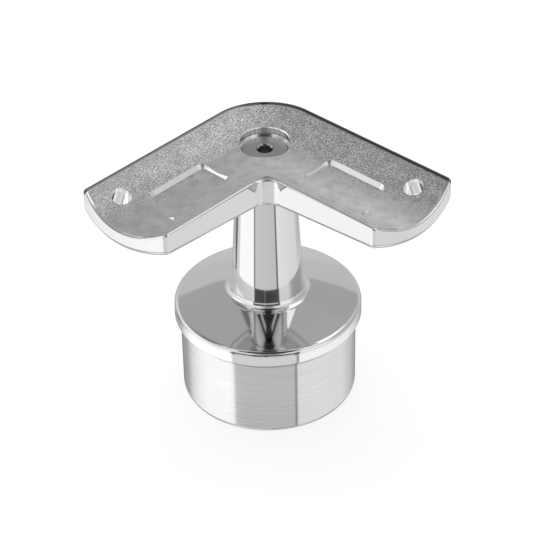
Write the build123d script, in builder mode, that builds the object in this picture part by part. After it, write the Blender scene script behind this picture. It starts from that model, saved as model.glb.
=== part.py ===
"""Handrail corner saddle: a cast L-shaped plate that carries the corner of a round handrail on a post.

The post's axis is Z, and z = 0 is the lower end of the spigot that goes into the post.
The plate's two arms run at 45 degrees to X, to -X -Y and to +X -Y, and mirror each other in the YZ plane.
"""

import os
from math import cos, radians, sin, sqrt

from build123d import *

os.makedirs("parts", exist_ok=True)

# Rail and post that the saddle joins
rail_diameter = 42.4
post_diameter = 42.4
post_wall = 1.2
spigot_clearance = 0.1

# Post cap
spigot_length = 20.1
spigot_wall = 2.6
spigot_lead = 1.2
band_height = 3.4
band_edge = 0.2
band_top_edge = 1.2
relief_width = 0.9
relief_depth = 0.25
dome_radius = 77.0
dome_rise = 2.54
roof_thickness = 2.2
cavity_fillet = 2.5
stem_foot_radius = 8.2
stem_top_radius = 6.5
stem_fillet = 2.0
stem_height = 34.0

# Saddle plate
arm_length = 43.8
arm_width = 24.6
end_bow = 2.3
outer_corner_radius = 13.0
inner_corner_radius = 3.6
tip_radius = 1.2
plate_thickness = 6.3
pad_height = 0.7
pad_margin = 0.8
underside_radius = 34.0
underside_tilt = 3.6
mitre_round = 12.0
top_edge = 0.45
bottom_edge = 1.2

# Screw through the plate into the stem
screw_diameter = 5.0
screw_length = 20.0
screw_tip = 0.6
head_diameter = 9.85
head_rim = 0.3
head_edge = 0.2
socket_across_flats = 3.0
socket_depth = 2.3
socket_entry = 0.12
screw_hole_clearance = 0.25
thread_clearance = 0.05
thread_spare = 3.0
counterbore_diameter = 11.0
head_recess = 1.2
counterbore_chamfer = 0.15

# Screw holes for the rail
rail_hole_diameter = 4.4
rail_hole_place = 35.6
rail_hole_offset = 7.1

# Sunk panels and casting marks in the seat
panel_length = 15.2
panel_width = 7.6
panel_corner = 1.2
panel_place = 22.7
panel_sink = 0.4
panel_draft = 40.0
mark_diameter = 2.2
mark_sink = 0.3
mark_place = 34.8
mark_offset = 5.7

# Heights and radii that follow
rail_radius = rail_diameter / 2
cap_radius = post_diameter / 2
spigot_radius = cap_radius - post_wall - spigot_clearance
band_top = spigot_length + band_height
stem_top = band_top + stem_height
underside_height = stem_top + pad_height
seat_height = underside_height + plate_thickness
head_height = seat_height - head_recess
half_width = arm_width / 2
pad_radius = stem_top_radius + pad_margin
bore_radius = counterbore_diameter / 2

# The left arm's frame: along it, and across it to the inside of the corner
along = Vector(-sqrt(0.5), -sqrt(0.5), 0)
inward = Vector(sqrt(0.5), -sqrt(0.5), 0)
upward = Vector(0, 0, 1)


def arm_plane(height):
    """level plane of the left arm: x runs along the arm, y to the inside of the corner"""
    return Plane(origin=(0, 0, height), x_dir=along, z_dir=upward)


def cross_plane(height, tilt=0.0):
    """plane across the left arm at the post's axis, its normal tilted up towards the arm's end"""
    angle = radians(tilt)
    return Plane(origin=(0, 0, height), x_dir=inward, z_dir=along * cos(angle) + upward * sin(angle))


def seat_rise(offset):
    """how far the seat stands above its lowest line at an offset across the arm"""
    return rail_radius - sqrt(rail_radius**2 - offset**2)


def plan(length, offset):
    """point of the left arm's plan: a length along the arm, an offset to the inside of the corner"""
    point = along * length + inward * offset
    return (point.X, point.Y)


def arm_place(point):
    """how far along its arm a point of the plate lies"""
    return (abs(point.X) - point.Y) * sqrt(0.5)


def round_corner(sketch, place, radius):
    """round the corner of a half section that stands at a radius and a height"""
    corner = Vector(place[0], place[1], 0)
    fillet(sketch.vertices().sort_by(lambda vertex: (Vector(vertex) - corner).length)[0], radius)


def mitre_edges(form, ceiling):
    """edges of a mitred form that lie in the mitre's plane, below a ceiling"""
    return form.edges().filter_by_position(Axis.X, -0.01, 0.01).filter_by_position(Axis.Z, 0, ceiling)


# The rail's own round along both arms, with a ball at the corner: the hollow that the seat is cut to
with BuildPart() as seat_form:
    seat_ceiling = seat_height + 0.8 * rail_radius
    with BuildSketch(cross_plane(seat_height)):
        with Locations((0, rail_radius)):
            Circle(rail_radius)
    extrude(amount=2 * arm_length)
    mirror(about=Plane.YZ)
    with Locations((0, 0, seat_height + rail_radius)):
        Sphere(rail_radius)
    split(bisect_by=Plane.XY.offset(seat_ceiling), keep=Keep.BOTTOM)
    with Locations((0, 0, seat_height)):
        Cylinder(0.8 * bore_radius, rail_diameter, mode=Mode.SUBTRACT)
    ridge = mitre_edges(seat_form, seat_ceiling - 0.01).filter_by_position(Axis.Y, -arm_length, 0)
    fillet(ridge, mitre_round)

# The plate's round underside, mitred in the same way and rising towards the arms' ends
with BuildPart() as underside_form:
    underside_ceiling = underside_height + 0.6 * underside_radius
    with BuildSketch(cross_plane(underside_height, underside_tilt)):
        with Locations((0, underside_radius)):
            Circle(underside_radius)
    extrude(amount=2 * arm_length, both=True)
    split(bisect_by=Plane.YZ, keep=Keep.BOTTOM)
    split(bisect_by=Plane.XY.offset(underside_ceiling), keep=Keep.BOTTOM)
    mirror(about=Plane.YZ)
    with Locations((0, 0, underside_height)):
        Cylinder(0.8 * pad_radius, 2 * underside_radius, mode=Mode.SUBTRACT)
    fillet(mitre_edges(underside_form, underside_ceiling - 0.01), mitre_round)

# What is cut into the left arm's seat, and mirrored into the right arm's
with BuildPart() as arm_cuts:
    # Screw hole towards the rail's axis
    rail_axis_point = along * rail_hole_place + upward * (seat_height + rail_radius)
    hole_foot = (
        along * rail_hole_place
        - inward * rail_hole_offset
        + upward * (seat_height + seat_rise(rail_hole_offset))
    )
    with BuildSketch(Plane(origin=rail_axis_point, z_dir=hole_foot - rail_axis_point)):
        Circle(rail_hole_diameter / 2)
    extrude(amount=rail_diameter)
    # Sunk panel with a level floor
    with BuildSketch(arm_plane(seat_height - panel_sink)):
        with Locations((panel_place, 0)):
            RectangleRounded(panel_length, panel_width, panel_corner)
    extrude(amount=panel_width / 2, taper=-panel_draft)
    # Round casting mark
    with BuildSketch(arm_plane(seat_height + seat_rise(mark_offset) - mark_sink)):
        with Locations((mark_place, mark_offset)):
            Circle(mark_diameter / 2)
    extrude(amount=mark_diameter, taper=-panel_draft)

with BuildPart() as saddle_plate:
    # Outline of the two arms, from the bisector round the left arm, and its mirror
    corner_length = arm_length - end_bow
    with BuildSketch(Plane.XY.offset(underside_height - plate_thickness)) as outline:
        with BuildLine():
            outer_side = Line(plan(-half_width, -half_width), plan(corner_length, -half_width))
            end = ThreePointArc(outer_side @ 1, plan(arm_length, 0), plan(corner_length, half_width))
            Line(end @ 1, plan(half_width, half_width))
            mirror(about=Plane.YZ)
        make_face()
        corners = outline.vertices().filter_by_position(Axis.X, -0.01, 0.01).sort_by(Axis.Y)
        fillet(corners.last, outer_corner_radius)
        corners = outline.vertices().filter_by_position(Axis.X, -0.01, 0.01)
        fillet(corners, inner_corner_radius)
        fillet(outline.vertices().filter_by(lambda tip: arm_place(tip) > corner_length - tip_radius), tip_radius)
    extrude(amount=plate_thickness + rail_radius)
    add(underside_form.part, mode=Mode.INTERSECT)
    # Round pad that seats on the stem
    with BuildSketch(Plane.XY.offset(stem_top)):
        Circle(pad_radius)
    extrude(amount=pad_height + plate_thickness + seat_rise(half_width))
    add(seat_form.part, mode=Mode.SUBTRACT)
    # Roundings along the top and the bottom of the side walls
    walls = saddle_plate.faces().filter_by(lambda face: abs(face.normal_at().Z) < 0.01)
    walls = walls.filter_by(lambda face: Vector(face.center().X, face.center().Y).length > pad_radius)
    rims = walls.edges().filter_by(lambda edge: abs(edge.tangent_at(0.5).Z) < 0.9)
    fillet(rims.filter_by_position(Axis.Z, seat_height - 1, seat_height + rail_radius), top_edge)
    walls = saddle_plate.faces().filter_by(lambda face: abs(face.normal_at().Z) < 0.01)
    walls = walls.filter_by(lambda face: Vector(face.center().X, face.center().Y).length > pad_radius)
    rims = walls.edges().filter_by(lambda edge: abs(edge.tangent_at(0.5).Z) < 0.9)
    fillet(rims.filter_by_position(Axis.Z, 0, seat_height - 1), bottom_edge)
    # Counterbore, conical seat of the screw's head and clearance hole
    with BuildSketch(Plane.XZ):
        with BuildLine():
            hole_radius = screw_diameter / 2 + screw_hole_clearance
            cone_top = head_height - head_rim + (counterbore_diameter - head_diameter) / 2
            Polyline(
                (0, seat_height + rail_radius),
                (bore_radius, seat_height + rail_radius),
                (bore_radius, cone_top),
                (hole_radius, cone_top - (bore_radius - hole_radius)),
                (hole_radius, 0),
                (0, 0),
                close=True,
            )
        make_face()
    revolve(axis=Axis.Z, mode=Mode.SUBTRACT)
    rim = saddle_plate.edges().filter_by_position(Axis.Z, seat_height - 0.1, seat_height + rail_radius)
    rim = rim.filter_by(lambda edge: Vector((edge @ 0.5).X, (edge @ 0.5).Y).length < bore_radius + 0.01)
    chamfer(rim, counterbore_chamfer)
    add(arm_cuts.part, mode=Mode.SUBTRACT)
    add(arm_cuts.part.mirror(Plane.YZ), mode=Mode.SUBTRACT)

# Cap that closes the post and carries the stem, one casting, turned outside
with BuildPart() as post_cap:
    dome_foot = band_top + dome_rise
    with BuildSketch(Plane.XZ) as cap_section:
        with BuildLine():
            side = Polyline(
                (0, 0),
                (spigot_radius, 0),
                (spigot_radius, spigot_length - relief_width),
                (spigot_radius - relief_depth, spigot_length - relief_width + relief_depth),
                (spigot_radius - relief_depth, spigot_length + relief_depth),
                (spigot_radius + relief_depth, spigot_length),
                (cap_radius, spigot_length),
                (cap_radius, band_top),
            )
            dome = RadiusArc(side @ 1, (stem_foot_radius, dome_foot), -dome_radius)
            Polyline(dome @ 1, (stem_top_radius, stem_top), (0, stem_top), (0, 0))
        make_face()
        round_corner(cap_section, (stem_foot_radius, dome_foot), stem_fillet)
        round_corner(cap_section, (cap_radius, band_top), band_top_edge)
        round_corner(cap_section, (cap_radius, spigot_length), band_edge)
        round_corner(cap_section, (spigot_radius, 0), spigot_lead)
    revolve(axis=Axis.Z)
    # Hollow of the spigot
    with BuildSketch(Plane.XZ) as hollow_section:
        hollow_radius = spigot_radius - spigot_wall
        hollow_height = band_top - roof_thickness
        Rectangle(hollow_radius, hollow_height, align=(Align.MIN, Align.MIN))
        round_corner(hollow_section, (hollow_radius, hollow_height), cavity_fillet)
    revolve(axis=Axis.Z, mode=Mode.SUBTRACT)
    # Tapped hole for the screw, with its drilled end
    with BuildSketch(Plane.XZ):
        with BuildLine():
            tap_radius = screw_diameter / 2 + thread_clearance
            tap_foot = head_height - screw_length - thread_spare
            Polyline(
                (0, stem_top),
                (tap_radius + screw_tip, stem_top),
                (tap_radius, stem_top - screw_tip),
                (tap_radius, tap_foot),
                (0, tap_foot - tap_radius * 0.6),
                close=True,
            )
        make_face()
    revolve(axis=Axis.Z, mode=Mode.SUBTRACT)

# Countersunk screw with a hexagon socket
with BuildPart() as saddle_screw:
    with BuildSketch(Plane.XZ):
        with BuildLine():
            head_radius = head_diameter / 2
            shank_radius = screw_diameter / 2
            cone_foot = head_height - head_rim - (head_radius - shank_radius)
            screw_foot = head_height - screw_length
            Polyline(
                (0, head_height),
                (head_radius - head_edge, head_height),
                (head_radius, head_height - head_edge),
                (head_radius, head_height - head_rim),
                (shank_radius, cone_foot),
                (shank_radius, screw_foot + screw_tip),
                (shank_radius - screw_tip, screw_foot),
                (0, screw_foot),
                close=True,
            )
        make_face()
    revolve(axis=Axis.Z)
    with BuildSketch(Plane.XY.offset(head_height)):
        RegularPolygon(socket_across_flats / 2, 6, major_radius=False)
    extrude(amount=-socket_depth, mode=Mode.SUBTRACT)
    # Conical entry of the socket
    with BuildSketch(Plane.XZ):
        with BuildLine():
            entry_radius = socket_across_flats / sqrt(3) + socket_entry
            Polyline((0, head_height), (entry_radius, head_height), (0, head_height - entry_radius), close=True)
        make_face()
    revolve(axis=Axis.Z, mode=Mode.SUBTRACT)

saddle_plate.part.label = "saddle_plate"
post_cap.part.label = "post_cap"
saddle_screw.part.label = "saddle_screw"
export_step(saddle_plate.part, "parts/saddle_plate.step")
export_step(post_cap.part, "parts/post_cap.step")
export_step(saddle_screw.part, "parts/saddle_screw.step")
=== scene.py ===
"""Looks for the handrail corner saddle: stainless finishes on the CAD pieces, a studio stage and a camera.

The post's axis is Z, z = 0 is the spigot's lower end and the plate's arms run to -X -Y and +X -Y.
"""
import math

import bpy
from mathutils import Matrix, Vector

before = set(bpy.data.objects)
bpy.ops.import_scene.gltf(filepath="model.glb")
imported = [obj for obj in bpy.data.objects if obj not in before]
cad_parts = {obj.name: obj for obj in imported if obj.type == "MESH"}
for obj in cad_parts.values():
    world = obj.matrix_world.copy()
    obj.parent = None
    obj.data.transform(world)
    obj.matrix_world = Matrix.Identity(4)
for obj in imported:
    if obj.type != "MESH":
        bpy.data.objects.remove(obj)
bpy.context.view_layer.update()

bl_info = {
    "name": "Handrail corner saddle looks",
    "version": (1, 0, 0),
    "blender": (4, 5, 0),
    "location": "3D View > Sidebar > Saddle",
    "description": "Dresses the corner saddle in its stainless finishes and sets its studio stage",
    "category": "Material",
}

MM = 0.001
DIAGONAL = math.sqrt(0.5)
PHOTO_WIDTH_PIXELS = 533
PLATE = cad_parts["saddle_plate"]
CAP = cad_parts["post_cap"]
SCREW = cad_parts["saddle_screw"]


def linear(hex_colour):
    """sRGB hex colour as linear red, green, blue and alpha"""
    channels = [int(hex_colour[i:i + 2], 16) / 255 for i in (1, 3, 5)]
    return tuple(c / 12.92 if c <= 0.04045 else ((c + 0.055) / 1.055) ** 2.4 for c in channels) + (1.0,)


def add_node(tree, kind, values):
    """a new node, with each value set on or linked to the attribute or input of its name or number"""
    node = tree.nodes.new(kind)
    for key, value in values.items():
        if isinstance(value, bpy.types.NodeSocket):
            tree.links.new(value, node.inputs[key])
        elif isinstance(key, str) and hasattr(node, key):
            setattr(node, key, value)
        else:
            node.inputs[key].default_value = value
    return node


def new_material(name):
    """an empty node material and its tree"""
    material = bpy.data.materials.new(name)
    material.use_nodes = True
    material.node_tree.nodes.clear()
    return material, material.node_tree


def give(obj, material):
    """put a material on a CAD piece"""
    obj.data.materials.clear()
    obj.data.materials.append(material)


def colour_of(name, description, default):
    """a colour that a user may change"""
    return bpy.props.StringProperty(
        name=name, description=f"sRGB hex colour of {description}", default=default)


def length_of(name, description, default_mm):
    """a length that a user may change, given in millimetres"""
    return bpy.props.FloatProperty(
        name=name, description=description, default=default_mm * MM, unit="LENGTH", precision=5)


def angle_of(name, description, default_degrees):
    """an angle that a user may change, given in degrees"""
    return bpy.props.FloatProperty(
        name=name, description=description, default=math.radians(default_degrees), subtype="ANGLE")


def roughness_of(name, description, default):
    """a roughness that a user may change"""
    return bpy.props.FloatProperty(name=name, description=description, default=default, subtype="FACTOR")


class SaddlePlateLook(bpy.types.PropertyGroup):
    """Finishes of the cast plate, and the light and shade painted into its colour"""

    polish_colour: colour_of("Polish colour", "the polished edge", "#D9D9D9")
    # Painted shade: the polished edge is darkened along the far rim and round the outer corner
    far_rim_shade_colour: colour_of("Rim colour", "the casting skin left on the far rim", "#6A6A6A")
    # Painted shade: the polished underside just before the stem is darkened
    nook_shade_colour: colour_of("Nook colour", "the casting skin left under the plate's middle", "#3C3C3C")
    seat_colour: colour_of("Seat colour", "the blasted seat", "#D2D2D2")
    stain_colour: colour_of("Stain colour", "the duller clouds in the blasted seat", "#C2C2C2")
    pit_colour: colour_of("Pit colour", "the dark grains of the blast", "#808080")
    glint_colour: colour_of("Glint colour", "the bright grains of the blast", "#FFFFFF")
    # Painted light and shade on the seat: the left arm lighter, the arms' ends and the far rim darker
    left_arm_light_colour: colour_of("Left arm colour", "what lightens the left arm's seat", "#FFFFFF")
    end_shade_colour: colour_of("End colour", "what darkens the seat towards the arms' ends", "#A4A4A4")
    shade_colour: colour_of("Shade colour", "what darkens the seat along the far rim", "#6E6E6E")
    # Painted shade and light on the smoother inner half: darker on the left arm, lighter on the right
    inner_left_shade_colour: colour_of(
        "Rubbed left colour", "the rubbed inner half, on the left arm", "#CECECE")
    inner_right_light_colour: colour_of(
        "Rubbed right colour", "the rubbed inner half, on the right arm", "#EEEEEE")
    blotch_colour: colour_of("Blotch colour", "the small stains all over the seat", "#8C8C8C")
    pressed_colour: colour_of("Pressed colour", "the walls of the sunk panels and marks", "#E8E8E8")
    drilled_dark_colour: colour_of("Drilled dark colour", "the dull streaks in the holes", "#DCDCDC")
    drilled_light_colour: colour_of("Drilled light colour", "the bright streaks in the holes", "#FFFFFF")
    cone_colour: colour_of("Cone colour", "the screw's conical seat", "#BCBCBC")
    seat_half_width: length_of("Seat half width", "From the arm's middle line to the polished edge", 11.5)
    seat_length: length_of("Seat length", "From the post's axis to the polished end edge", 43.0)
    end_curve: bpy.props.FloatProperty(
        name="End curve", description="Bow of the end edge, in mm for each square mm of offset",
        default=0.0152)
    # Where the painted shade along the far rim begins
    shaded_rim_start: length_of("Rim start", "From the arm's middle line to the dark skin of the far rim", 11.25)
    corner_centre: length_of("Corner centre", "From the post's axis to the outer corner's centre", 1.0)
    counterbore_reach: length_of("Counterbore reach", "From the axis to past the counterbore's wall", 5.9)
    cone_reach: length_of("Cone reach", "From the axis to the rim of the screw's conical seat", 5.4)
    hole_place: length_of("Hole place", "From the post's axis along the arm to the rail screw's hole", 35.6)
    hole_offset: length_of("Hole offset", "From the arm's middle line to the rail screw's hole", 7.1)
    hole_reach: length_of("Hole reach", "From the rail screw's axis to past its hole's wall", 2.4)
    grit: length_of("Blast grit", "Size of the grains in the blasted seat", 0.22)
    grit_depth: length_of("Grit depth", "Depth of the grains in the blasted seat", 0.12)
    stain_size: length_of("Stain size", "Size of the clouds in the blasted seat", 6.0)
    blotch_size: length_of("Blotch size", "Size of the small stains in the seat", 2.5)
    streak_size: length_of("Streak size", "Spacing of the drill's streaks in the holes", 0.5)
    seat_roughness: roughness_of("Seat roughness", "Middle roughness of the blasted seat", 0.42)
    seat_unevenness: roughness_of("Seat unevenness", "How far its roughness strays from the middle", 0.06)
    smooth_roughness: roughness_of("Smooth roughness", "Roughness of the pressed and drilled walls", 0.22)


class PostCapLook(bpy.types.PropertyGroup):
    """Finishes of the post cap"""

    polish_colour: colour_of("Polish colour", "the polished dome and stem", "#D9D9D9")
    spigot_colour: colour_of("Spigot colour", "the turned spigot", "#C8C8C8")
    groove_colour: colour_of("Groove colour", "the turning marks on the spigot", "#BCBCBC")
    # Painted shadow on the spigot just under the band
    relief_shadow_colour: colour_of("Relief colour", "what darkens the relief under the band", "#4A4A4A")
    spigot_height: length_of("Spigot height", "From the spigot's lower end to the band's lower edge", 20.1)
    relief_shadow_height: length_of("Relief height", "Height of the darker relief under the band", 1.4)
    feed: length_of("Feed", "Spacing of the turning marks on the spigot", 0.3)
    groove_depth: length_of("Groove depth", "Depth of the turning marks on the spigot", 0.04)
    least_roughness: roughness_of("Least roughness", "Least roughness of the turned spigot", 0.06)
    most_roughness: roughness_of("Most roughness", "Most roughness of the turned spigot", 0.12)


class ScrewLook(bpy.types.PropertyGroup):
    """Finish of the screw"""

    head_colour: colour_of("Head colour", "the screw", "#A6A6A6")
    smear_size: length_of("Smear size", "Size of the dull smears on the screw", 0.8)
    smear_depth: length_of("Smear depth", "Depth of the smears on the screw", 0.03)
    least_roughness: roughness_of("Least roughness", "Least roughness of the screw", 0.18)
    most_roughness: roughness_of("Most roughness", "Most roughness of the screw", 0.3)


class StageLook(bpy.types.PropertyGroup):
    """Floor, lamp and camera"""

    floor_colour: colour_of("Floor colour", "the floor", "#FFFFFF")
    floor_reach: length_of("Floor reach", "From the post's axis to the floor's edge", 3000.0)
    lamp_length: length_of("Lamp length", "Length of the overhead lamp", 500.0)
    lamp_width: length_of("Lamp width", "Width of the overhead lamp", 350.0)
    lamp_height: length_of("Lamp height", "From the floor to the overhead lamp", 600.0)
    lamp_shift: length_of("Lamp shift", "From the post's axis to the lamp, both left and back", 100.0)
    lamp_power: bpy.props.FloatProperty(
        name="Lamp power", description="Power of the overhead lamp", default=1.2, unit="POWER")
    camera_distance: length_of("Camera distance", "From the pivot on the post's axis to the camera", 454.07)
    camera_pivot: length_of("Camera pivot", "From the floor to the pivot on the post's axis", 40.8)
    aim_height: length_of("Aim height", "From the floor to the point that the camera looks at", 31.81)
    aim_shift: length_of("Aim shift", "From the post's axis to that point, to the right", -0.17)
    camera_elevation: angle_of("Camera elevation", "Above the horizon", 35.41)
    camera_azimuth: angle_of("Camera azimuth", "Round the post's axis", -1.07)
    camera_roll: angle_of("Camera roll", "About the line of sight", -1.19)
    focal_pixels: bpy.props.FloatProperty(
        name="Focal length", description="Focal length in pixels of the 533 pixel image", default=2049.88)


# What a hand polish leaves: its waves, their depth and its smears
POLISH_WAVE = 9.0 * MM
POLISH_SMEAR = 1.6 * MM
POLISH_DEPTH = 0.4 * MM
LEAST_POLISH_ROUGHNESS = 0.04
MOST_POLISH_ROUGHNESS = 0.10
# How rough the small parts of every cloudy noise are beside its large ones
CLOUD_ROUGHNESS = 0.6
# Widths over which one finish passes to the next: at a polished edge, and at any other
EDGE_BLEND = 0.15 * MM
ZONE_BLEND = 0.1 * MM


def polished_steel(tree, place, colour):
    """Mirror-polished stainless: clear reflections that wave a little, as on a hand-polished casting."""
    wave = add_node(tree, "ShaderNodeTexNoise", {
        "Vector": place, "Scale": 1 / POLISH_WAVE, "Detail": 1.0, "Roughness": CLOUD_ROUGHNESS}).outputs[0]
    smear = add_node(tree, "ShaderNodeTexNoise", {
        "Vector": place, "Scale": 1 / POLISH_SMEAR, "Detail": 4.0, "Roughness": CLOUD_ROUGHNESS}).outputs[0]
    roughness = add_node(tree, "ShaderNodeMapRange", {
        "Value": smear, "To Min": LEAST_POLISH_ROUGHNESS, "To Max": MOST_POLISH_ROUGHNESS}).outputs[0]
    bump = add_node(tree, "ShaderNodeBump", {
        "Strength": 0.06, "Distance": POLISH_DEPTH, "Height": wave}).outputs[0]
    return add_node(tree, "ShaderNodeBsdfPrincipled", {
        "Base Color": colour, "Metallic": 1.0, "Roughness": roughness, "Normal": bump}).outputs[0]


def plate_places(tree, look, place):
    """where a point of the plate lies, as sockets by name: on its nearer arm, and from its holes"""
    x, y, _ = add_node(tree, "ShaderNodeSeparateXYZ", {0: place}).outputs
    across = add_node(tree, "ShaderNodeMath", {"operation": "ABSOLUTE", 0: x}).outputs[0]
    folded = add_node(tree, "ShaderNodeCombineXYZ", {0: across, 1: y}).outputs[0]
    places = {"x": x, "y": y, "across": across}
    for name, direction in (("offset", (DIAGONAL, DIAGONAL, 0)), ("length", (DIAGONAL, -DIAGONAL, 0))):
        places[name] = add_node(tree, "ShaderNodeVectorMath", {
            "operation": "DOT_PRODUCT", 0: folded, 1: direction}).outputs["Value"]
    offset, length = places["offset"], places["length"]
    places["width"] = add_node(tree, "ShaderNodeMath", {"operation": "ABSOLUTE", 0: offset}).outputs[0]
    # The end edge is bowed, so the seat ends sooner at its corners
    square = add_node(tree, "ShaderNodeMath", {"operation": "MULTIPLY", 0: offset, 1: offset}).outputs[0]
    places["bowed"] = add_node(tree, "ShaderNodeMath", {
        "operation": "MULTIPLY_ADD", 0: square, 1: look.end_curve / MM, 2: length}).outputs[0]
    on_arm = add_node(tree, "ShaderNodeCombineXYZ", {0: length, 1: offset}).outputs[0]
    for name, point, centre in (
            ("from_bore", folded, (0, 0, 0)),
            ("from_corner", folded, (0, -look.corner_centre, 0)),
            ("from_hole", on_arm, (look.hole_place, look.hole_offset, 0))):
        places[name] = add_node(tree, "ShaderNodeVectorMath", {
            "operation": "DISTANCE", 0: point, 1: centre}).outputs["Value"]
    normal = add_node(tree, "ShaderNodeNewGeometry", {}).outputs["Normal"]
    places["rise"] = add_node(tree, "ShaderNodeSeparateXYZ", {0: normal}).outputs[2]
    return places


def plate_masks(tree, look, places):
    """the plate's zones, as sockets from 0 to 1 by name"""
    # Each row: a place on the plate, where the zone starts there and where it is full, and then the zone's
    # least and most, where they aren't 0 and 1
    zones = {
        "in_width": ("width", look.seat_half_width, look.seat_half_width - EDGE_BLEND),
        "in_length": ("bowed", look.seat_length, look.seat_length - EDGE_BLEND),
        "at_bore": ("from_bore", look.counterbore_reach + ZONE_BLEND, look.counterbore_reach),
        "at_hole": ("from_hole", look.hole_reach + ZONE_BLEND, look.hole_reach),
        "not_under": ("rise", -0.5, -0.4),
        "upward": ("rise", 0.40, 0.44),
        "along_rim": ("offset", look.shaded_rim_start - ZONE_BLEND, look.shaded_rim_start + ZONE_BLEND),
        "round_corner": ("from_corner", look.shaded_rim_start + 0.6 * MM, look.shaded_rim_start + 0.8 * MM),
        "behind_post": ("y", 7.6 * MM, 8.2 * MM),
        "rim_upward": ("rise", 0.1, 0.3),
        "near_middle": ("across", 4.5 * MM, 3 * MM),
        "before_stem": ("y", -6 * MM, -7 * MM),
        "downward": ("rise", -0.7, -0.8),
        "off_wall_foot": ("rise", 0.45, 0.55),
        "steep": ("rise", 0.8, 0.74),
        "on_arm": ("length", 8 * MM, 9 * MM),
        "cone_slope": ("rise", 0.4, 0.5),
        "in_cone": ("from_bore", look.cone_reach + ZONE_BLEND / 2, look.cone_reach - ZONE_BLEND / 2),
        # The blast has bitten most in the outer half
        "bitten": ("offset", -4 * MM, 5 * MM, 0.12, 1.0),
        "speckled": ("offset", -4 * MM, 5 * MM, 0.12 * 0.95, 0.95),
        "inner_half": ("offset", 5 * MM, -3 * MM),
        "rightward": ("x", -15 * MM, 15 * MM),
        # Painted light and shade: the left arm's seat is painted lighter, and both seats are painted darker
        # towards their ends and along the far rim
        "left_arm": ("x", 2 * MM, -8 * MM, 0, 0.15),
        "towards_end": ("length", 10 * MM, 45 * MM, 0, 0.3),
        "towards_rim": ("offset", 8.5 * MM, 11.3 * MM, 0, 0.22),
    }
    masks = {}
    for name, (measure, start, full, *limits) in zones.items():
        least, most = limits or (0, 1)
        masks[name] = add_node(tree, "ShaderNodeMapRange", {
            "Value": places[measure], "From Min": start, "From Max": full,
            "To Min": least, "To Max": most}).outputs[0]
    for name, operation, first, second in (
            # The seat faces up, and the walls of its holes belong to it as well
            ("holes", "MAXIMUM", "at_bore", "at_hole"),
            ("holes", "MULTIPLY", "holes", "not_under"),
            ("facing", "MAXIMUM", "upward", "holes"),
            ("inside", "MULTIPLY", "in_width", "in_length"),
            ("seat", "MULTIPLY", "inside", "facing"),
            # Painted shade along the far rim, round the outer corner too: the polished edge is darkened
            # there
            ("corner", "MULTIPLY", "round_corner", "behind_post"),
            ("rim", "MAXIMUM", "along_rim", "corner"),
            ("rim", "MULTIPLY", "rim", "rim_upward"),
            ("off_rim", "SUBTRACT", 1, "rim"),
            ("seat", "MULTIPLY", "seat", "off_rim"),
            # Painted shade on the underside just before the stem, where it faces down
            ("nook", "MULTIPLY", "near_middle", "before_stem"),
            ("nook", "MULTIPLY", "nook", "downward"),
            # Walls of the sunk panels and marks
            ("pressed", "MULTIPLY", "off_wall_foot", "steep"),
            ("pressed", "MULTIPLY", "pressed", "on_arm"),
            ("drilled", "MULTIPLY", "steep", "holes"),
            ("cone", "MULTIPLY", "cone_slope", "in_cone"),
            ("smooth", "MAXIMUM", "pressed", "drilled"),
            ("grained", "SUBTRACT", 1, "smooth"),
            ("grained", "MULTIPLY", "grained", "bitten")):
        masks[name] = add_node(tree, "ShaderNodeMath", {
            "operation": operation, 0: masks.get(first, first), 1: masks[second]}).outputs[0]
    return masks


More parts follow.
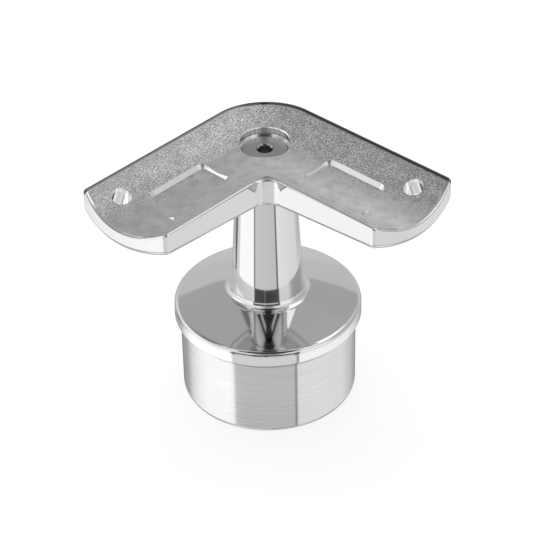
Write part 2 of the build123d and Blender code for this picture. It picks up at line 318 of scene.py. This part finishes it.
def blasted_steel(tree, look, place, masks):
    """Cast stainless, blasted grey: dull, with a fine grain, and smoother in pressed walls and holes, with
    painted light and shade in the seat's colour.
    """
    # The drill's streaks run down the holes, so their noise is drawn out along them
    streaks = add_node(tree, "ShaderNodeMapping", {"Vector": place, "Scale": (1.0, 1.0, 0.1)}).outputs[0]
    clouds = {}
    # The grit is as coarse as it needs to be to show in the picture; the real one's size isn't known
    for name, vector, size, detail in (
            ("grain", place, look.grit, 2.0),
            ("stain", place, look.stain_size, 4.0),
            ("blotch", place, look.blotch_size, 5.0),
            ("streak", streaks, look.streak_size, 2.0)):
        clouds[name] = add_node(tree, "ShaderNodeTexNoise", {
            "Vector": vector, "Scale": 1 / size, "Detail": detail, "Roughness": CLOUD_ROUGHNESS}).outputs[0]
    # Each row: a cloud, the levels of it where its share starts and is full, and the most that it gets
    shares = {"rightward": masks["rightward"]}
    for name, start, full, most in (
            ("grain", 0.43, 0.57, 1), ("stain", 0.3, 0.7, 1), ("streak", 0.35, 0.65, 1),
            ("blotch", 0.42, 0.68, 0.3)):
        shares[name] = add_node(tree, "ShaderNodeMapRange", {
            "Value": clouds[name], "From Min": start, "From Max": full, "To Max": most}).outputs[0]
    colours = {}
    for name, share, first, second in (
            ("cast", "stain", look.stain_colour, look.seat_colour),
            ("speckle", "grain", look.pit_colour, look.glint_colour),
            ("rubbed_lit_and_shaded", "rightward", look.inner_left_shade_colour, look.inner_right_light_colour),
            ("drilled", "streak", look.drilled_dark_colour, look.drilled_light_colour)):
        colours[name] = add_node(tree, "ShaderNodeMix", {
            "data_type": "RGBA", 0: shares[share], 6: linear(first), 7: linear(second)}).outputs[2]
    colours["drilled"] = add_node(tree, "ShaderNodeMix", {
        "data_type": "RGBA", 0: masks["cone"], 6: colours["drilled"],
        7: linear(look.cone_colour)}).outputs[2]
    tint = colours["cast"]
    for share, colour in (
            (masks["speckled"], colours["speckle"]),
            # Painted light on the left arm, and painted shade towards the arms' ends and along the far rim
            (masks["left_arm"], linear(look.left_arm_light_colour)),
            (masks["towards_end"], linear(look.end_shade_colour)),
            (masks["towards_rim"], linear(look.shade_colour)),
            # The inner half is smoother, and its colour is painted light and shade: a little darker on the
            # left arm and lighter on the right
            (masks["inner_half"], colours["rubbed_lit_and_shaded"]),
            (shares["blotch"], linear(look.blotch_colour)),
            (masks["pressed"], linear(look.pressed_colour)),
            (masks["drilled"], colours["drilled"])):
        tint = add_node(tree, "ShaderNodeMix", {
            "data_type": "RGBA", 0: share, 6: tint, 7: colour}).outputs[2]
    roughness = add_node(tree, "ShaderNodeMapRange", {
        "Value": clouds["stain"], "To Min": look.seat_roughness - look.seat_unevenness,
        "To Max": look.seat_roughness + look.seat_unevenness}).outputs[0]
    roughness = add_node(tree, "ShaderNodeMix", {
        0: masks["smooth"], 2: roughness, 3: look.smooth_roughness}).outputs[0]
    bump = add_node(tree, "ShaderNodeBump", {
        "Strength": masks["grained"], "Distance": look.grit_depth, "Height": clouds["grain"]}).outputs[0]
    return add_node(tree, "ShaderNodeBsdfPrincipled", {
        "Base Color": tint, "Metallic": 1.0, "Roughness": roughness, "Normal": bump}).outputs[0]


class DressPlate(bpy.types.Operator):
    """Blasted seat and polished edge on the cast plate, with painted light and shade in their colour"""

    bl_idname = "saddle.dress_plate"
    bl_label = "Dress the plate"

    def execute(self, context):
        look = context.scene.saddle_plate_look
        material, tree = new_material("cast_stainless_blasted_seat_polished_edge")
        place = add_node(tree, "ShaderNodeTexCoord", {}).outputs["Object"]
        masks = plate_masks(tree, look, plate_places(tree, look, place))
        edge = linear(look.polish_colour)
        # Painted shade: the polished edge is darkened along the far rim and on the underside just before
        # the stem
        for share, colour in ((masks["rim"], look.far_rim_shade_colour), (masks["nook"], look.nook_shade_colour)):
            edge = add_node(tree, "ShaderNodeMix", {
                "data_type": "RGBA", 0: share, 6: edge, 7: linear(colour)}).outputs[2]
        both = add_node(tree, "ShaderNodeMixShader", {
            0: masks["seat"], 1: polished_steel(tree, place, edge),
            2: blasted_steel(tree, look, place, masks)}).outputs[0]
        add_node(tree, "ShaderNodeOutputMaterial", {"Surface": both})
        give(PLATE, material)
        return {"FINISHED"}


def turned_steel(tree, look, place, height):
    """Stainless left as turned: satin, with fine rings round the spigot, and a painted shadow just under
    the band.
    """
    # Noise drawn out across the axis and fine along it makes the rings
    rings_place = add_node(tree, "ShaderNodeMapping", {
        "Vector": place, "Scale": (0.02, 0.02, 1.0)}).outputs[0]
    rings = add_node(tree, "ShaderNodeTexNoise", {
        "Vector": rings_place, "Scale": 1 / look.feed, "Detail": 3.0,
        "Roughness": CLOUD_ROUGHNESS}).outputs[0]
    bright = add_node(tree, "ShaderNodeMapRange", {
        "Value": rings, "From Min": 0.3, "From Max": 0.6}).outputs[0]
    # Painted shadow: the spigot is darkened just under the band
    relief_shadow_start = look.spigot_height - look.relief_shadow_height
    in_relief_shadow = add_node(tree, "ShaderNodeMapRange", {
        "Value": height, "From Min": relief_shadow_start, "From Max": relief_shadow_start + ZONE_BLEND,
        "To Max": 0.4}).outputs[0]
    tint = linear(look.groove_colour)
    for share, colour in ((bright, look.spigot_colour), (in_relief_shadow, look.relief_shadow_colour)):
        tint = add_node(tree, "ShaderNodeMix", {
            "data_type": "RGBA", 0: share, 6: tint, 7: linear(colour)}).outputs[2]
    roughness = add_node(tree, "ShaderNodeMapRange", {
        "Value": rings, "To Min": look.least_roughness, "To Max": look.most_roughness}).outputs[0]
    bump = add_node(tree, "ShaderNodeBump", {
        "Strength": 0.12, "Distance": look.groove_depth, "Height": rings}).outputs[0]
    return add_node(tree, "ShaderNodeBsdfPrincipled", {
        "Base Color": tint, "Metallic": 1.0, "Roughness": roughness, "Normal": bump}).outputs[0]


class DressCap(bpy.types.Operator):
    """Polished dome and stem, turned spigot"""

    bl_idname = "saddle.dress_cap"
    bl_label = "Dress the post cap"

    def execute(self, context):
        look = context.scene.saddle_cap_look
        material, tree = new_material("cast_stainless_polished_cap_turned_spigot")
        place = add_node(tree, "ShaderNodeTexCoord", {}).outputs["Object"]
        height = add_node(tree, "ShaderNodeSeparateXYZ", {0: place}).outputs["Z"]
        on_spigot = add_node(tree, "ShaderNodeMapRange", {
            "Value": height, "From Min": look.spigot_height + ZONE_BLEND / 2,
            "From Max": look.spigot_height - ZONE_BLEND / 2}).outputs[0]
        both = add_node(tree, "ShaderNodeMixShader", {
            0: on_spigot, 1: polished_steel(tree, place, linear(look.polish_colour)),
            2: turned_steel(tree, look, place, height)}).outputs[0]
        add_node(tree, "ShaderNodeOutputMaterial", {"Surface": both})
        give(CAP, material)
        return {"FINISHED"}


class DressScrew(bpy.types.Operator):
    """Plain stainless on the screw"""

    bl_idname = "saddle.dress_screw"
    bl_label = "Dress the screw"

    def execute(self, context):
        look = context.scene.saddle_screw_look
        # Bright stainless, cold formed: nearly smooth, a little duller than the polished casting
        material, tree = new_material("stainless_bright_screw")
        place = add_node(tree, "ShaderNodeTexCoord", {}).outputs["Object"]
        smear = add_node(tree, "ShaderNodeTexNoise", {
            "Vector": place, "Scale": 1 / look.smear_size, "Detail": 4.0,
            "Roughness": CLOUD_ROUGHNESS}).outputs[0]
        roughness = add_node(tree, "ShaderNodeMapRange", {
            "Value": smear, "To Min": look.least_roughness, "To Max": look.most_roughness}).outputs[0]
        bump = add_node(tree, "ShaderNodeBump", {
            "Strength": 0.15, "Distance": look.smear_depth, "Height": smear}).outputs[0]
        steel = add_node(tree, "ShaderNodeBsdfPrincipled", {
            "Base Color": linear(look.head_colour), "Metallic": 1.0, "Roughness": roughness,
            "Normal": bump}).outputs[0]
        add_node(tree, "ShaderNodeOutputMaterial", {"Surface": steel})
        give(SCREW, material)
        return {"FINISHED"}


# Share of the light that polished steel of #D9D9D9 gives back
STEEL_REFLECTION = 0.69
# Strength of the tent's light, which keeps every stop of its bands below 1
TENT_STRENGTH = 2.0
# Each band of the light tent lists stops: an azimuth in degrees, with 0 in front and left below 0, and the
# sRGB grey that polished steel shows of it, which may pass 255
NADIR = [
    (-180, 165), (-110, 165), (-75, 235), (-40, 215), (0, 195), (40, 215), (75, 235), (110, 165),
    (180, 165)]
UNDER = [
    (-180, 160), (-80, 165), (-45, 190), (-36, 60), (34, 60), (42, 180), (80, 165), (180, 160)]
LOW = [
    (-180, 60), (-155, 150), (-140, 165), (-124, 228), (-112, 252), (-92, 274), (-56, 278), (-50, 268),
    (-47, 206), (32.5, 206), (33.5, 130), (35.5, 130), (36.5, 242), (75, 242), (112, 232), (136, 195),
    (150, 165), (180, 60)]
WALLS = [
    (-180, 60), (-155, 180), (-130, 230), (-60, 248), (-46, 242), (-40, 206), (30, 204), (36, 212),
    (80, 208), (100, 215), (130, 210), (155, 180), (180, 60)]
WAIST = [
    (-180, 60), (-155, 160), (-134, 165), (-130, 80), (-122, 80), (-118, 205), (-106, 205), (-102, 250),
    (-46, 248), (-43.5, 85), (-42, 85), (-40, 196), (27, 188), (29, 85), (32, 85), (34, 222), (85, 212),
    (110, 210), (135, 170), (155, 165), (180, 60)]
HORIZON = [
    (-180, 190), (-158, 185), (-146, 200), (-120, 215), (-60, 232), (-44, 240), (-41, 85), (-14, 75),
    (-10, 115), (-6, 65), (32, 85), (35, 236), (64, 236), (80, 180), (115, 168), (146, 192), (158, 188),
    (180, 190)]
BACK_LIGHT = [
    (-180, 184), (-158, 184), (-146, 200), (-120, 215), (-108, 262), (-86, 262), (-70, 225), (-24, 215),
    (-8, 140), (8, 140), (24, 215), (60, 210), (80, 175), (115, 170), (146, 192), (158, 182), (180, 184)]
ABOVE = [
    (-180, 158), (-140, 158), (-130, 145), (-100, 150), (-60, 210), (-24, 215), (-8, 140), (8, 140),
    (24, 215), (60, 200), (100, 195), (128, 195), (140, 158), (180, 158)]
HIGH = [
    (-180, 158), (-140, 156), (-130, 122), (-100, 115), (-60, 235), (-47, 240), (-43, 60), (-20, 45),
    (20, 45), (40, 60), (44, 245), (100, 268), (130, 262), (146, 162), (180, 158)]
OVERHEAD = [
    (-180, 160), (-90, 150), (-46, 160), (-40, 60), (40, 60), (46, 160), (90, 178), (180, 160)]
# Heights are the sine of the elevation at which each band begins and has fully taken over
TENT_BANDS = [
    (-1.02, -1.01, NADIR), (-0.80, -0.77, UNDER), (-0.69, -0.66, LOW), (-0.610, -0.598, WALLS),
    (-0.562, -0.550, WAIST), (-0.16, -0.08, HORIZON), (0.27, 0.30, BACK_LIGHT), (0.495, 0.505, ABOVE),
    (0.70, 0.74, HIGH), (0.90, 0.97, OVERHEAD)]


def set_stops(band, greys):
    """give a colour ramp the stops of one band of the tent"""
    while len(band.elements) < len(greys):
        band.elements.new(0.5)
    for element, (degrees, grey) in zip(band.elements, greys):
        level = ((grey / 255 + 0.055) / 1.055) ** 2.4 / STEEL_REFLECTION / TENT_STRENGTH
        element.position = 0.5 + degrees / 360
        element.color = (level, level, level, 1.0)


def studio_world(scene):
    """a light tent: white to the camera, and grey, white and dark sides in the metal's reflections"""
    world = bpy.data.worlds.new("light_tent")
    scene.world = world
    world.use_nodes = True
    tree = world.node_tree
    tree.nodes.clear()
    direction = add_node(tree, "ShaderNodeTexCoord", {}).outputs["Generated"]
    x, y, z = add_node(tree, "ShaderNodeSeparateXYZ", {0: direction}).outputs
    # 0.5 in front, falling over the left side to 0 at the back and rising over the right side to 1
    ahead = add_node(tree, "ShaderNodeMath", {"operation": "MULTIPLY", 0: y, 1: -1.0}).outputs[0]
    turn = add_node(tree, "ShaderNodeMath", {"operation": "ARCTAN2", 0: x, 1: ahead}).outputs[0]
    turn = add_node(tree, "ShaderNodeMapRange", {
        "Value": turn, "From Min": -math.pi, "From Max": math.pi}).outputs[0]
    seen = linear("#000000")
    for lowest, highest, greys in TENT_BANDS:
        ramp = add_node(tree, "ShaderNodeValToRGB", {0: turn})
        set_stops(ramp.color_ramp, greys)
        reached = add_node(tree, "ShaderNodeMapRange", {
            "Value": z, "From Min": lowest, "From Max": highest}).outputs[0]
        seen = add_node(tree, "ShaderNodeMix", {
            "data_type": "RGBA", 0: reached, 6: seen, 7: ramp.outputs[0]}).outputs[2]
    rays = add_node(tree, "ShaderNodeLightPath", {}).outputs
    plain = rays["Is Camera Ray"]
    for kind in ("Is Diffuse Ray", "Is Transmission Ray"):
        plain = add_node(tree, "ShaderNodeMath", {
            "operation": "MAXIMUM", 0: plain, 1: rays[kind]}).outputs[0]
    colour = add_node(tree, "ShaderNodeMix", {
        "data_type": "RGBA", 0: plain, 6: seen, 7: linear("#FFFFFF")}).outputs[2]
    strength = add_node(tree, "ShaderNodeMapRange", {
        "Value": plain, "To Min": TENT_STRENGTH, "To Max": 1.0}).outputs[0]
    light = add_node(tree, "ShaderNodeBackground", {"Color": colour, "Strength": strength}).outputs[0]
    add_node(tree, "ShaderNodeOutputWorld", {"Surface": light})


# Share of the floor's white that the camera sees whatever the light; the rest of it takes the shadow
FLOOR_GLOW = 0.8


def lay_floor(scene, look):
    """a white paper floor that keeps the object's shadow and isn't seen by the metal"""
    reach = look.floor_reach
    corners = [(-reach, -reach, 0), (reach, -reach, 0), (reach, reach, 0), (-reach, reach, 0)]
    mesh = bpy.data.meshes.new("floor")
    mesh.from_pydata(corners, [], [(0, 1, 2, 3)])
    floor = bpy.data.objects.new("floor", mesh)
    scene.collection.objects.link(floor)
    floor.visible_glossy = False
    material, tree = new_material("white_paper_floor")
    paper = add_node(tree, "ShaderNodeBsdfPrincipled", {
        "Base Color": linear(look.floor_colour), "Roughness": 0.9}).outputs[0]
    glow = add_node(tree, "ShaderNodeEmission", {"Strength": 1.0}).outputs[0]
    to_camera = add_node(tree, "ShaderNodeLightPath", {}).outputs["Is Camera Ray"]
    bright = add_node(tree, "ShaderNodeMath", {
        "operation": "MULTIPLY", 0: to_camera, 1: FLOOR_GLOW}).outputs[0]
    both = add_node(tree, "ShaderNodeMixShader", {0: bright, 1: paper, 2: glow}).outputs[0]
    add_node(tree, "ShaderNodeOutputMaterial", {"Surface": both})
    mesh.materials.append(material)


def hang_lamp(scene, look):
    """a soft lamp overhead, which the metal doesn't mirror"""
    lamp = bpy.data.lights.new("overhead_lamp", "AREA")
    lamp.shape = "RECTANGLE"
    lamp.size = look.lamp_length
    lamp.size_y = look.lamp_width
    lamp.energy = look.lamp_power
    holder = bpy.data.objects.new("overhead_lamp", lamp)
    holder.location = (-look.lamp_shift, look.lamp_shift, look.lamp_height)
    holder.visible_glossy = False
    scene.collection.objects.link(holder)


def place_camera(scene, look):
    """a camera off the post's axis, aimed at the stem and rolled as in the photograph"""
    data = bpy.data.cameras.new("camera")
    camera = bpy.data.objects.new("camera", data)
    scene.collection.objects.link(camera)
    scene.camera = camera
    data.sensor_width = 36.0
    data.lens = look.focal_pixels / PHOTO_WIDTH_PIXELS * data.sensor_width
    data.clip_start = 0.01
    data.clip_end = 20.0
    back = look.camera_distance * math.cos(look.camera_elevation)
    rise = look.camera_distance * math.sin(look.camera_elevation)
    stand = Vector((0, -back, look.camera_pivot + rise))
    aim = Vector((look.aim_shift, 0, look.aim_height))
    ahead = (aim - stand).normalized()
    right = ahead.cross(Vector((0, 0, 1))).normalized()
    up = right.cross(ahead)
    roll = look.camera_roll
    turned_right = math.cos(roll) * right + math.sin(roll) * up
    turned_up = -math.sin(roll) * right + math.cos(roll) * up
    pose = Matrix((turned_right, turned_up, -ahead)).transposed().to_4x4()
    pose.translation = stand
    camera.matrix_world = Matrix.Rotation(look.camera_azimuth, 4, "Z") @ pose


class BuildStage(bpy.types.Operator):
    """Floor, light tent, lamp and camera"""

    bl_idname = "saddle.build_stage"
    bl_label = "Build the stage"

    def execute(self, context):
        look = context.scene.saddle_stage_look
        scene = context.scene
        scene.view_settings.view_transform = "Standard"
        studio_world(scene)
        lay_floor(scene, look)
        hang_lamp(scene, look)
        place_camera(scene, look)
        return {"FINISHED"}


class SADDLE_PT_looks(bpy.types.Panel):
    """Looks of the corner saddle"""

    bl_label = "Corner saddle"
    bl_space_type = "VIEW_3D"
    bl_region_type = "UI"
    bl_category = "Saddle"

    def draw(self, context):
        for group, operator in (
            ("saddle_plate_look", DressPlate),
            ("saddle_cap_look", DressCap),
            ("saddle_screw_look", DressScrew),
            ("saddle_stage_look", BuildStage),
        ):
            box = self.layout.box()
            for name in getattr(context.scene, group).bl_rna.properties.keys():
                if name not in ("rna_type", "name"):
                    box.prop(getattr(context.scene, group), name)
            box.operator(operator.bl_idname)


CLASSES = (
    SaddlePlateLook, PostCapLook, ScrewLook, StageLook,
    DressPlate, DressCap, DressScrew, BuildStage, SADDLE_PT_looks)
GROUPS = {
    "saddle_plate_look": SaddlePlateLook,
    "saddle_cap_look": PostCapLook,
    "saddle_screw_look": ScrewLook,
    "saddle_stage_look": StageLook,
}


def register():
    for cls in CLASSES:
        bpy.utils.register_class(cls)
    for name, group in GROUPS.items():
        setattr(bpy.types.Scene, name, bpy.props.PointerProperty(type=group))


def unregister():
    for name in GROUPS:
        delattr(bpy.types.Scene, name)
    for cls in reversed(CLASSES):
        bpy.utils.unregister_class(cls)


def main():
    register()
    bpy.ops.saddle.dress_plate()
    bpy.ops.saddle.dress_cap()
    bpy.ops.saddle.dress_screw()
    bpy.ops.saddle.build_stage()


if __name__ == "__main__":
    main()
